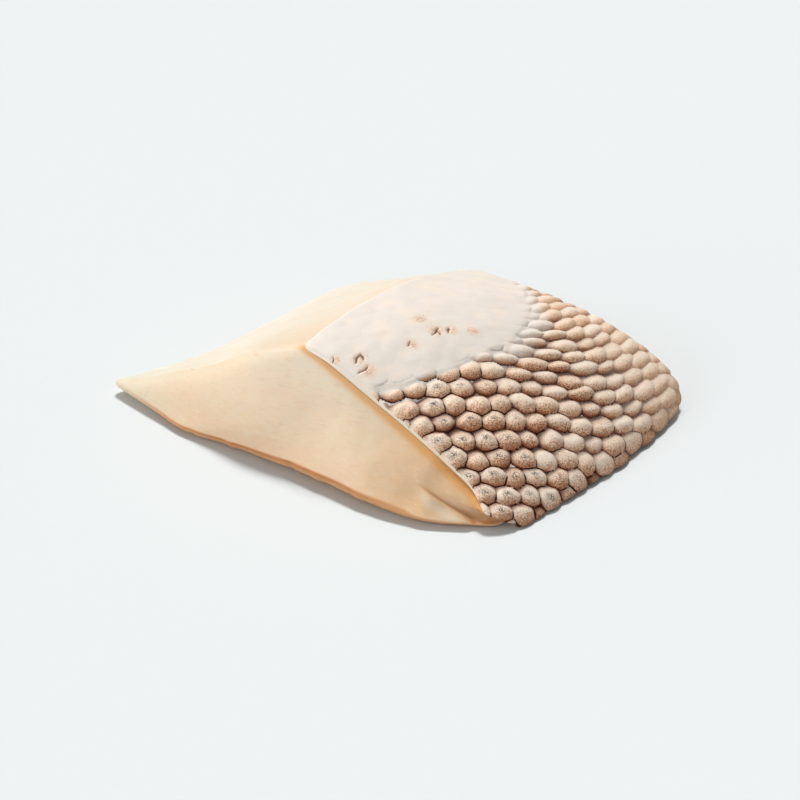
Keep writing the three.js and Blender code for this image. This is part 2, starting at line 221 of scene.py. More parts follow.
# Studio
CAMERA_TARGET = (0.00084, 0.00032, 0.0)  # in metres
FLOOR_HALF = 4.0
KEY_SOURCE = (-0.28, 0.5, 0.82)  # direction to the sun on the food
BACK_SOURCE = (0.05, 0.54, 0.84)  # to the sun on the floor
BACK_ANGLE = math.radians(13)  # and its spread
FILL_SOURCE = (-0.86, -0.5, 0.16)  # to the low sun in front
FILL_ANGLE = math.radians(60)


def linear(code):
    """Linear colour of a six-digit sRGB code."""
    parts = [int(code[k:k + 2], 16) / 255 for k in (0, 2, 4)]
    return tuple(c / 12.92 if c <= 0.04045 else ((c + 0.055) / 1.055) ** 2.4 for c in parts)


def number(name, value, description, **more):
    """Number property with its default."""
    return FloatProperty(name=name, description=description, default=value, **more)


def millimetres(name, value, description):
    """Length property with its default given in millimetres."""
    return number(name, value * MM, description, unit="LENGTH", precision=5)


def colour(name, code, description):
    """Colour property with its default given as an sRGB code."""
    return FloatVectorProperty(
        name=name, description=description, default=linear(code), size=3, subtype="COLOR",
        min=0, max=1,
    )


class FilletSkinSettings(bpy.types.PropertyGroup):
    """Sizes and colours of the skin."""

    width: millimetres("Width", 68.7, "From the back edge to the trimmed edge")
    crest_height: millimetres("Crest height", 34, "Highest point of the trimmed edge")
    thickness: millimetres("Thickness", 1.8, "Thickness seen at the front cut")
    scale_rise: millimetres("Scale rise", 2.5, "Height of a scale over the pits round it")
    scale_radius: millimetres("Scale radius", 4.05, "Reach of one puffy scale from its middle")
    scallop: millimetres("Scallop", 0.8, "Depth of the scalloped back and far edges")
    seed: IntProperty(name="Seed", description="Seed of the scales' unevenness", default=20, min=0)
    film: colour("Film", "EFE4D8", "Smooth band along the trimmed edge")
    cream: colour("Cream", "F8E8D5", "Roots and tops of the scales")
    tan: colour("Tan", "EDC09B", "Middle of the scales")
    # Brown is pigment, and also paints shade on the scales' shaded sides and low parts
    brown: colour("Brown", "93481F", "Pigment at the scales' free edges")
    # Dark is the colour of the dots and cracks, and also paints the shade in the creases, pits and
    # loose edges
    dark: colour("Dark", "360D02", "Creases between the scales")
    cut: colour("Cut edge", "F6E8D4", "Fatty edge of the skin at the front cut")


class FilletFleshSettings(bpy.types.PropertyGroup):
    """Sizes and colours of the flesh."""

    foot_inset: millimetres("Foot inset", 2.4, "Inset of the flat underside from the widest outline")
    rim_height: millimetres("Rim height", 3, "Height of the widest outline")
    front_swell: millimetres("Front swell", 2.4, "Outward swell of the front cut")
    side_swell: millimetres("Side swell", 1.6, "Outward swell of the other faces")
    ripple: millimetres("Ripple", 0.45, "Slow unevenness of the cut faces")
    fold_step: millimetres("Fold step", 1.5, "How far the flesh under the fold stands proud")
    pale: colour("Pale", "EBDDC6", "Flesh of the upper belly side")
    peach: colour("Peach", "F0D6B6", "Flesh of the front cut")
    warm: colour("Warm", "E3B27C", "Flesh near the front corner")
    # Honey paints the warm shade under the skin's cut edge, and part of the glow along the table
    honey: colour("Honey", "E9A95F", "Clear flesh in the groove under the skin")
    # Amber paints the glow of light through the thin flesh along the table, and the shade in the fold
    amber: colour("Amber", "BC6E26", "Clear flesh along the table")
    tip: colour("Tip", "E6DFC8", "Thin clear flesh of the pointed tip")


class FilletStageSettings(bpy.types.PropertyGroup):
    """Floor, light and camera."""

    floor: colour("Floor", "DFE2E1", "Pale studio floor")
    sky: colour("Sky", "F0F4F8", "Soft light from all round")
    sky_strength: number("Sky strength", 0.36, "Soft light", min=0)
    key: number("Key strength", 2.65, "Sun on the food", min=0)
    back: number("Back strength", 2.85, "Sun on the floor", min=0)
    key_angle: number("Key angle", math.radians(26), "Spread of the key sun", subtype="ANGLE")
    fill: number("Fill strength", 1.4, "Low sun in front", min=0)
    lens: number("Lens", 100, "Focal length in millimetres", min=10)
    distance: number("Distance", 0.635, "From the camera to its target", unit="LENGTH")
    elevation: number("Elevation", math.radians(30), "Of the camera over the floor", subtype="ANGLE")


# Numbers

def ramp(x, start=0, run=1):
    """Smooth rise from 0 at the start to 1 after the run."""
    c = np.clip((x - start) / run, 0, 1)
    return c * c * (3 - 2 * c)


def mix(a, b, share):
    return a + (b - a) * share


def bell(x, middle=0, reach=1):
    """1 at the middle, falling smoothly to both sides."""
    x = (x - middle) / reach
    return np.exp(-x * x)


def lumps(points, size):
    """Smooth noise between about -1 and 1, with lumps of the given size, at each point."""
    return np.array([noise.noise(Vector(p)) for p in np.asarray(points, float) / size])


def lumpy(points, waves):
    """Sum of smooth noises, each given as the size of its lumps and its height."""
    return sum(height * lumps(points, size) for size, height in waves)


# The skin's domed surface

class Dome:
    """Heights over the table of the skin's plain top and underside, in millimetres."""

    def __init__(self, skin):
        self.width = skin.width / MM
        self.crest = skin.crest_height / MM
        self.thickness = skin.thickness / MM

    def back_edge(self, along):
        return -BACK_BULGE + BACK_BULGE_FALL * ((along - BACK_BULGE_ALONG) / BACK_BULGE_REACH) ** 2

    def top(self, across, along):
        crest = self.crest - CREST_FALL * ((along - CREST_ALONG) / CREST_REACH) ** 2
        fullness = mix(FULLNESS_FRONT, FULLNESS_FAR, np.clip(along / SKIN_LENGTH, 0, 1))
        edge = self.back_edge(along)
        a = (across - edge) / (self.width - edge)
        return BACK_HEIGHT + (crest - BACK_HEIGHT) * (1 - np.abs(1 - a) ** fullness)

    def underside(self, across, along):
        near_cut = bell(np.maximum(along, 0) / 9)
        reach = TRIM_TAPER + TRIM_THIN[1] * near_cut
        taper = ramp((across - (self.width - reach)) / reach)
        thickness = mix(self.thickness, SKIN_TRIM_THICKNESS - TRIM_THIN[0] * near_cut, taper)
        corner = bell(np.maximum(across, 0) / 10) * bell(np.maximum(along, 0) / 8)
        thickness = thickness - CORNER_THIN * corner
        return np.maximum(self.top(across, along) - thickness, SKIN_CLEARANCE)

    def slope(self, across, along):
        """Rise of the top for each millimetre across and along."""
        probe = 0.05
        here = self.top(across, along)
        return (
            (self.top(across + probe, along) - here) / probe,
            (self.top(across, along + probe) - here) / probe,
        )

    def girth(self, across, along):
        """Distance over the dome from the back edge."""
        steps = 40
        edge = self.back_edge(along)
        run = (across - edge) / steps
        total = np.zeros_like(across)
        for k in range(steps):
            rise, _ = self.slope(edge + (k + 0.5) * run, along)
            total += run * np.hypot(1, rise)
        return total


# Outlines

def rounded_outline(corners, corner_steps, side_steps):
    """Outline of straight sides and rounded corners, and the place of each corner's middle in it."""
    places = np.array([corner[:2] for corner in corners], float)
    count = len(corners)

    def reach(k, other):
        way = places[other % count] - places[k % count]
        length = np.hypot(*way)
        return places[k % count] + way * min(corners[k % count][2], length / 2) / length

    outline = []
    middles = []
    for k in range(count):
        t = np.linspace(0, 1, corner_steps[k])[:, None]
        start, end = reach(k, k - 1), reach(k, k + 1)
        bend = (1 - t) ** 2 * start + 2 * t * (1 - t) * places[k] + t ** 2 * end
        middles.append(sum(len(part) for part in outline) + corner_steps[k] // 2)
        outline.append(bend)
        s = np.linspace(0, 1, side_steps[k] + 1)[1:-1, None]
        outline.append(mix(end, reach(k + 1, k), s))
    return np.concatenate(outline), middles


def skin_line(corner_steps, side_steps):
    """Outline of the skin, and the place of each corner's middle in it."""
    outline, middles = rounded_outline(SKIN_CORNERS, corner_steps, side_steps)
    place, reach, depth = CORNER_BULGE
    bulge = depth * bell(outline[:, 0], place, reach)
    outline[:, 1] -= bulge * (1 - ramp(outline[:, 1] / CORNER_BULGE_ALONG))
    return outline, middles


def outward_normals(outline):
    run = np.roll(outline, -1, 0) - np.roll(outline, 1, 0)
    normal = np.stack([-run[:, 1], run[:, 0]], 1)
    return normal / np.linalg.norm(normal, axis=1)[:, None]


def even_steps(line, count):
    """The line resampled to a number of equal steps."""
    length = np.concatenate([[0], np.cumsum(np.linalg.norm(np.diff(line, axis=0), axis=1))])
    at = np.linspace(0, length[-1], count + 1)
    return np.stack([np.interp(at, length, line[:, axis]) for axis in (0, 1)], 1)


def outline_steps(spacing):
    """Numbers of points on the corners and the sides, which both outlines share."""
    corner_steps = []
    side_steps = []
    for k, (across, along, rounding) in enumerate(BASE_CORNERS):
        after = BASE_CORNERS[(k + 1) % len(BASE_CORNERS)]
        length = math.hypot(after[0] - across, after[1] - along)
        corner_steps.append(max(9, round(2 * min(rounding, length / 2) / spacing) | 1))
        straight = length - min(rounding, length / 2) - min(after[2], length / 2)
        side_steps.append(max(4, round(straight / spacing)))
    return corner_steps, side_steps


def to_row_frame(places):
    """Across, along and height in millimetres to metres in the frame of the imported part."""
    base, _ = rounded_outline(BASE_CORNERS, [CAD_CORNER_STEPS] * 8, [4] * 8)

    def turned(across, along):
        cos, sin = math.cos(math.radians(AXIS_TURN)), math.sin(math.radians(AXIS_TURN))
        return np.stack([along * sin - across * cos, along * cos + across * sin], -1)

    plan = turned(*base.T)
    low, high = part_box("flesh")
    shift = np.array([low[0] - plan[:, 0].min() * MM, high[1] - plan[:, 1].max() * MM])
    return np.column_stack([turned(*places[:, :2].T) * MM + shift, places[:, 2] * MM])


# Scales

class Scales:
    """Puffy scales that overlap towards the back edge of the skin."""

    LEAN = 0.4  # how much higher a scale stands at its free edge
    ROUNDNESS = 2.1
    FALL = 0.58
    SHADED = (0.9, 0.4)  # direction of the shaded side, to the back edge and to the front cut
    WANDER = ((5.5, 0.6), (1.7, 0.22))  # size and reach of the wander of the creases
    CREASE = 0.16  # a crease is where two scales are this close in height
    SMALL = (0.86, 0.14)  # scales drawn above the first are smaller by the second
    DOT = 0.26  # size of the dark dot, as a share of the scale's radius
    UNDOTTED = 0.25  # share of the scales without one
    HEIGHTS = (0.88, 1.06)
    WIDTHS = (0.92, 1.08)

    def __init__(self, skin, dome):
        self.dome = dome
        self.radius = skin.scale_radius / MM
        shape = (len(SCALE_ROWS), len(SCALE_STEPS))
        self.middle_u = np.zeros(shape)
        self.middle_v = np.zeros(shape)
        state = skin.seed
        for r, row in enumerate(SCALE_ROWS):
            for s, step in enumerate(SCALE_STEPS):
                u = SCALE_START[0] + row * SCALE_COLUMN[0] + step * SCALE_ROW[0]
                v = SCALE_START[1] + row * SCALE_COLUMN[1] + step * SCALE_ROW[1]
                girth = u * self.narrowing(v)
                along = v + STRETCH * max(v - STRETCH_FROM, 0) ** 2
                shifts = []
                for _ in range(2):
                    state = (state * 1664525 + 1013904223) % 4294967296
                    shifts.append(SCALE_JITTER * (2 * state / 4294967296 - 1))
                self.middle_v[r, s] = self.unstretched(along + shifts[1])
                self.middle_u[r, s] = (girth + shifts[0]) / self.narrowing(self.middle_v[r, s])
        draw = np.random.default_rng(skin.seed)
        small = 1 - self.SMALL[1] * (draw.uniform(0, 1, shape) > self.SMALL[0])
        self.height = draw.uniform(*self.HEIGHTS, shape) * small
        self.wide_u = draw.uniform(*self.WIDTHS, shape) * small
        self.wide_v = draw.uniform(*self.WIDTHS, shape) * small
        self.tone = draw.uniform(0, 1, shape)
        self.dotted = draw.uniform(0, 1, shape) > self.UNDOTTED

    @staticmethod
    def narrowing(v):
        return 1 - NARROWING * ramp(v, *NARROWING_ALONG)

    @staticmethod
    def unstretched(along):
        beyond = np.maximum(along - STRETCH_FROM, 0)
        return np.minimum(along, STRETCH_FROM) + (np.sqrt(1 + 4 * STRETCH * beyond) - 1) / (2 * STRETCH)

    def at(self, across, along):
        """Crease, lift, free edge, tone and dot of the scale at each place; the free edge is also the
        side given painted shade.
        """
        v = self.unstretched(along)
        u = self.dome.girth(across, along) / self.narrowing(v)
        for size, reach in self.WANDER:
            here = np.column_stack([u, v, np.full_like(u, size)])
            u = u + reach * lumps(here, size)
            v = v + reach * lumps(here + 50, size)
        du, dv = u - SCALE_START[0], v - SCALE_START[1]
        (row_u, row_v), (column_u, column_v) = SCALE_ROW, SCALE_COLUMN
        turn = column_u * row_v - row_u * column_v
        row = np.rint((du * row_v - dv * row_u) / turn).astype(int) - SCALE_ROWS[0]
        step = np.rint((dv * column_u - du * column_v) / turn).astype(int) - SCALE_STEPS[0]
        best, second = np.full_like(u, -1), np.full_like(u, -1)
        shaded_free_edge, tone, dot = np.zeros((3, len(u)))
        for r in (-1, 0, 1):
            for s in (-1, 0, 1):
                r_at = np.clip(row + r, 0, len(SCALE_ROWS) - 1)
                scale = r_at, np.clip(step + s, 0, len(SCALE_STEPS) - 1)
                a = (self.middle_u[scale] - u) / (self.radius * self.wide_u[scale])
                b = (self.middle_v[scale] - v) / (self.radius * self.wide_v[scale])
                d = np.hypot(a, b)
                puff = np.clip(1 - d ** self.ROUNDNESS, 0, 1) ** self.FALL
                lift = self.height[scale] * puff * (1 + self.LEAN * a)
                wins = lift > best
                second = np.where(wins, best, np.maximum(second, lift))
                best = np.where(wins, lift, best)
                # the free edge is the side that is given brown pigment and painted shade
                shaded = self.SHADED[0] * a + self.SHADED[1] * b
                shaded_free_edge = np.where(wins, shaded, shaded_free_edge)
                tone = np.where(wins, self.tone[scale], tone)
                dot = np.where(wins, bell(d / self.DOT) * self.dotted[scale], dot)
        crease = bell(np.clip(best - second, 0, None) / self.CREASE)
        return {"crease": crease, "lift": best, "shaded_free_edge": shaded_free_edge, "tone": tone, "dot": dot}


def into_band(across, along):
    """Distance across from the border of the smooth band, above 0 inside it."""
    offset = along - SMOOTH_ALONG
    opening = np.where(offset < 0, SMOOTH_OPENING_FRONT, SMOOTH_OPENING_FAR)
    places = np.column_stack([across, along, np.zeros_like(across)])
    return across - SMOOTH_FROM - opening * offset ** 2 - lumpy(places, [SMOOTH_WANDER])


def cracked(across, along):
    """Nearness to a crack in the film, and how stained the film is, both from 0 to 1."""
    here = np.column_stack([across, along, np.full_like(across, 3.0)])
    across = across + lumpy(here, [CRACK_WANDER])
    along = along + lumpy(here + 20, [CRACK_WANDER])
    crack = np.zeros_like(across)
    for middle_across, middle_along, turn, length in CRACKS:
        cos, sin = math.cos(math.radians(turn)), math.sin(math.radians(turn))
        run = (across - middle_across) * cos + (along - middle_along) * sin
        aside = (along - middle_along) * cos - (across - middle_across) * sin
        beyond = np.maximum(np.abs(run) - length / 2, 0)
        width = CRACK_WIDTH * np.clip(1.2 - np.abs(run) / length, 0.3, 1)
        crack = np.maximum(crack, bell(np.hypot(aside, beyond) / width))
    stain = np.zeros_like(across)
    for middle_across, middle_along, reach in STAINS:
        distance = np.hypot(across - middle_across, along - middle_along)
        stain = np.maximum(stain, bell(distance / reach))
    return crack, stain


# Meshes

def closed_mesh(name, places, faces, attributes):
    """Smooth object from places on the fillet, with a value at each point for every attribute."""
    mesh = bpy.data.meshes.new(name)
    mesh.from_pydata(to_row_frame(places), [], faces)
    mesh.polygons.foreach_set("use_smooth", [True] * len(mesh.polygons))
    for attribute, values in attributes.items():
        layer = mesh.attributes.new(attribute, "FLOAT", "POINT")
        layer.data.foreach_set("value", np.asarray(values, np.float32))
    mesh.update()
    if mesh.validate():
        raise RuntimeError(f"the mesh of {name} has invalid faces")
    piece = bpy.data.objects.new(name, mesh)
    bpy.context.scene.collection.objects.link(piece)
    return piece


def band_faces(upper, lower):
    """Faces between two closed loops of points that run anticlockwise seen from above."""
    after_upper, after_lower = np.roll(upper, -1), np.roll(lower, -1)
    return np.stack([upper, lower, after_lower, after_upper], 1).tolist()


def fan_faces(middle, loop):
    """Faces between a middle point and a closed loop of points."""
    return [[middle, a, b] for a, b in zip(loop.tolist(), np.roll(loop, -1).tolist())]


def skin_loop(skin, scales):
    """Outline of the skin in even steps, its outward normals, and which of it is a loose edge."""
    outline, corners = skin_line([CORNER_POINTS] * 8, [SIDE_POINTS] * 8)
    ring = np.concatenate([outline, outline])

    def side(start, end):
        stop = corners[end] if corners[end] > corners[start] else corners[end] + len(outline)
        return even_steps(ring[corners[start]:stop + 1], 2 * GRID_HALF)[:-1]

    loop = np.concatenate([side(*corner_pair) for corner_pair in SKIN_SIDES])
    normals = outward_normals(loop)
    loose = np.clip(np.maximum(-normals[:, 0], normals[:, 1]), 0, 1)

    # Scallops follow the scales along the back and far edges
    lift = scales.at(*loop.T)["lift"]
    out = skin.scallop / MM * (lift - SCALLOP_LIFT) * loose
    out = out * (1 - ramp(into_band(*loop.T) / SCALLOP_FADE[0]))
    out = out * ramp(loop[:, 1] / SCALLOP_FADE[1])
    return loop + normals * out[:, None], normals, loose


def skin_grid(loop):
    """Grid of points in square rings round the middle, each ring a smaller copy of the loop.

    Also the distance of each point to the edge, and whether it looks to the front cut or to a loose
    edge.
    """
    half = GRID_HALF
    closed = np.concatenate([loop, loop[:1]])
    front, right, far, left = (closed[k * 2 * half:(k + 1) * 2 * half + 1] for k in range(4))
    i, j = np.meshgrid(np.arange(-half, half + 1), np.arange(-half, half + 1), indexing="ij")
    i, j = i.ravel(), j.ravel()
    r = np.maximum(np.abs(i), np.abs(j))
    run = np.where(np.abs(j) == r, i, j)
    share = (run + r) / np.maximum(2 * r, 1) * 2 * half
    steps = np.arange(2 * half + 1)
    edge = np.zeros((len(i), 2))
    sides = ((i == r, right), (i == -r, left[::-1]), (j == r, far[::-1]), (j == -r, front))
    for chosen, line in sides:
        for axis in (0, 1):
            edge[chosen, axis] = np.interp(share[chosen], steps, line[:, axis])
    middle = np.array(CAP_MIDDLE, float)
    plan = middle + (edge - middle) * (r / half)[:, None]
    at_front = (j == -r) & (i < r)
    at_loose = (i == r) | ((j == r) & (i > -r))
    return plan, np.linalg.norm(edge - plan, axis=1), at_front, at_loose


def skin_relief(skin, dome, scales, across, along):
    """Height of the scales and the film over the plain dome, and marks of them for the colours."""
    field = scales.at(across, along)
    inside = into_band(across, along)
    crack, stain = cracked(across, along)
    far = ramp(along, *FLAT)
    near = 1 - ramp(along, *NEAR)
    rise = skin.scale_rise / MM * mix(1, FLAT_SHARE, far) * mix(1, NEAR_RISE, near)
    grain = np.column_stack([across, along, np.full_like(across, 7.0)])

    # Scales
    crumpled = bell(along, *CRUMPLED_ALONG) * ramp(across, *CRUMPLED_ACROSS)
    rough = lumpy(grain, SCALE_GRAIN) + CRUMPLED_GRAIN * crumpled * lumps(grain, SCALE_GRAIN[0][0])
    puffy = SCALE_TOP + rise * (field["lift"] - 1) + rough
    puffy = puffy - SINK[2] * rise * ramp((inside + SINK[0]) / SINK[1])

    # Film that buries their roots and thins away outside the band
    outside = 1 - ramp((inside + BORDER[0]) / BORDER[1])
    line = field["crease"] * ramp((field["shaded_free_edge"] + 0.1) / 0.5) * outside
    film = SCALE_TOP - FILM_DEPTH * rise + lumpy(grain, FILM_LUMPS)
    film = film + (FILM_SHOW[0] + FILM_SHOW[1] * outside) * rise * (field["lift"] - 1)
    film = film - LINE_DEPTH * rise * line - CRACK_DEPTH * crack
    film = film - rise * np.maximum(-inside, 0) / mix(*FILM_FALL, far)
    bare = puffy - film + EDGE_SHOW[0] * rise * field["shaded_free_edge"] * bell(inside / EDGE_SHOW[1])
    haze_reach = mix(*HAZE_REACH, ramp(along, *HAZE_ALONG))
    deepest = dome.underside(across, along) - dome.top(across, along) + SKIN_LEFT
    relief = FILM_BLEND * np.logaddexp(puffy / FILM_BLEND, film / FILM_BLEND)
    relief = FILM_BLEND * np.logaddexp(relief / FILM_BLEND, deepest / FILM_BLEND)

    # Brown pigment is strongest in the middle, and the low front corner is the darkest: browner scales
    # and stronger painted shade in their creases
    brown = mix(0.6, 1, bell(across, 8, 20) * bell(along, 28, 34))
    brown = mix(brown, 0.55, ramp(along, 52, 18))
    return relief, {
        **field,
        "line": line,
        "film": 1 / (1 + np.exp(np.clip(bare / COVER_BLEND, -30, 30))),
        "haze": ramp((inside + haze_reach) / haze_reach),
        "brown": brown * mix(0.6, 1, ramp(-inside / 8)),
        "gloom": bell(across, 4, 14) * bell(along, 3, 14),
        "far": far,
        "crack": crack,
        "stain": stain * ramp((inside + 4) / 4),
        "front": near,
    }


def skin_piece(skin):
    """Scaled skin: a fine grid laid over the dome, a rounded cut edge and a plain underside."""
    dome = Dome(skin)
    scales = Scales(skin, dome)
    loop, normals, loose = skin_loop(skin, scales)
    plan, to_edge, at_front, at_loose = skin_grid(loop)
    across, along = plan[:, 0], plan[:, 1]
    relief, marks = skin_relief(skin, dome, scales, across, along)

    # Top, with the relief laid off square to the dome
    flat_to, flat_share = CUT_FLAT_TO
    relief = mix(relief, flat_to, at_front * bell(to_edge / CUT_FLAT) * flat_share)
    relief = relief - CUT_SHOULDER * bell(to_edge / CUT_SHOULDER_REACH)
    relief = mix(relief, relief * EDGE_FLAT[1], at_loose * bell(to_edge / EDGE_FLAT[0]))
    curl = at_loose * bell(to_edge / EDGE_REACH)
    slope_across, slope_along = dome.slope(across, along)
    steep = np.sqrt(1 + slope_across ** 2 + slope_along ** 2)
    top = np.column_stack([
        across - relief * slope_across / steep,
        along - relief * slope_along / steep,
        dome.top(across, along) + relief / steep - EDGE_DROOP * curl,
    ])

    # Cut edge and underside
    last = 2 * GRID_HALF
    size = last + 1
    k = np.arange(last)
    border = np.concatenate([k * size, last * size + k, (last - k) * size + last, last - k])
    top_edge = top[border]
    low = dome.underside(*loop.T)
    drop = np.minimum(dome.top(*loop.T) - low, dome.thickness)
    lean = CUT_LEAN * np.maximum(-normals[:, 1], 0) * drop - EDGE_CURL * loose
    low_edge = np.column_stack([loop + normals * lean[:, None], np.minimum(low, top_edge[:, 2] - 0.4)])
    outward = np.column_stack([normals, np.zeros(len(normals))])
    rows = [top]
    for level in CUT_LEVELS:
        bulge = CUT_BULGE * math.sin(math.pi * level)
        rows.append(mix(top_edge, low_edge, level) + outward * bulge)
    middle = np.array(CAP_MIDDLE, float)
    for level in UNDER_LEVELS:
        inner = middle + (loop - middle) * level
        rows.append(np.column_stack([inner, dome.underside(*inner.T)]))
    rows.append([[*middle, dome.underside(*middle)]])
    places = np.concatenate(rows)

    i, j = np.meshgrid(np.arange(last), np.arange(last), indexing="ij")
    corner = (i * size + j).ravel()
    faces = np.stack([corner, corner + size, corner + size + 1, corner + 1], 1).tolist()
    upper = border
    for row in range(len(rows) - 2):
        lower = len(top) + row * len(loop) + np.arange(len(loop))
        faces += band_faces(upper, lower)
        upper = lower
    faces += fan_faces(len(places) - 1, upper[::-1])

    # Marks for the colours, which the cut edge takes from the border of the top or has of its own
    below = len(places) - len(top) - len(CUT_LEVELS) * len(loop)

    def everywhere(values, on_cut, under=0):
        return np.concatenate([values, on_cut.ravel(), np.full(below, under)])

    levels = np.array(CUT_LEVELS)[:, None]
    plain = np.zeros((len(CUT_LEVELS), len(loop)))
    pale_from, wander_size, wander = CUT_PALE
    pale_from = pale_from + wander * lumps(np.column_stack([loop, np.zeros(len(loop))]), wander_size)
    cut = np.clip(-normals[:, 1] * 1.6, 0, 1) * ramp(loop[:, 0], 3, 12)
    cut = cut * ramp(levels, pale_from, 0.2)
    # The curled loose edges take the colour of a free edge: its brown and its painted shade
    marks["shaded_free_edge"] = np.maximum(marks["shaded_free_edge"], curl * 0.8)
    attributes = {}
    for name, values in marks.items():
        on_top_only = name in ("dot", "crack", "stain", "front")
        attributes[name] = everywhere(values, plain if on_top_only else plain + values[border])
    # Painted shade along the loose edges, where the skin curls under: on the lower part of the cut face
    # and as a thin line on the top
    rim = ramp(levels, 0.15, 0.5) * loose
    attributes["rim"] = everywhere(at_loose * bell(to_edge / 0.3) * 0.5, rim)
    attributes["cut"] = everywhere(np.zeros(len(top)), cut, 1)
    return closed_mesh("scaled_skin", places, faces, attributes)


def softened(rows, reach):
    """Rings of points smoothed along themselves, each by its own reach in points."""
    turns = np.fft.fftfreq(rows.shape[1])
    keep = np.exp(-2 * (np.pi * np.outer(reach, turns)) ** 2)
    return np.fft.ifft(np.fft.fft(rows, axis=1) * keep[:, :, None], axis=1).real


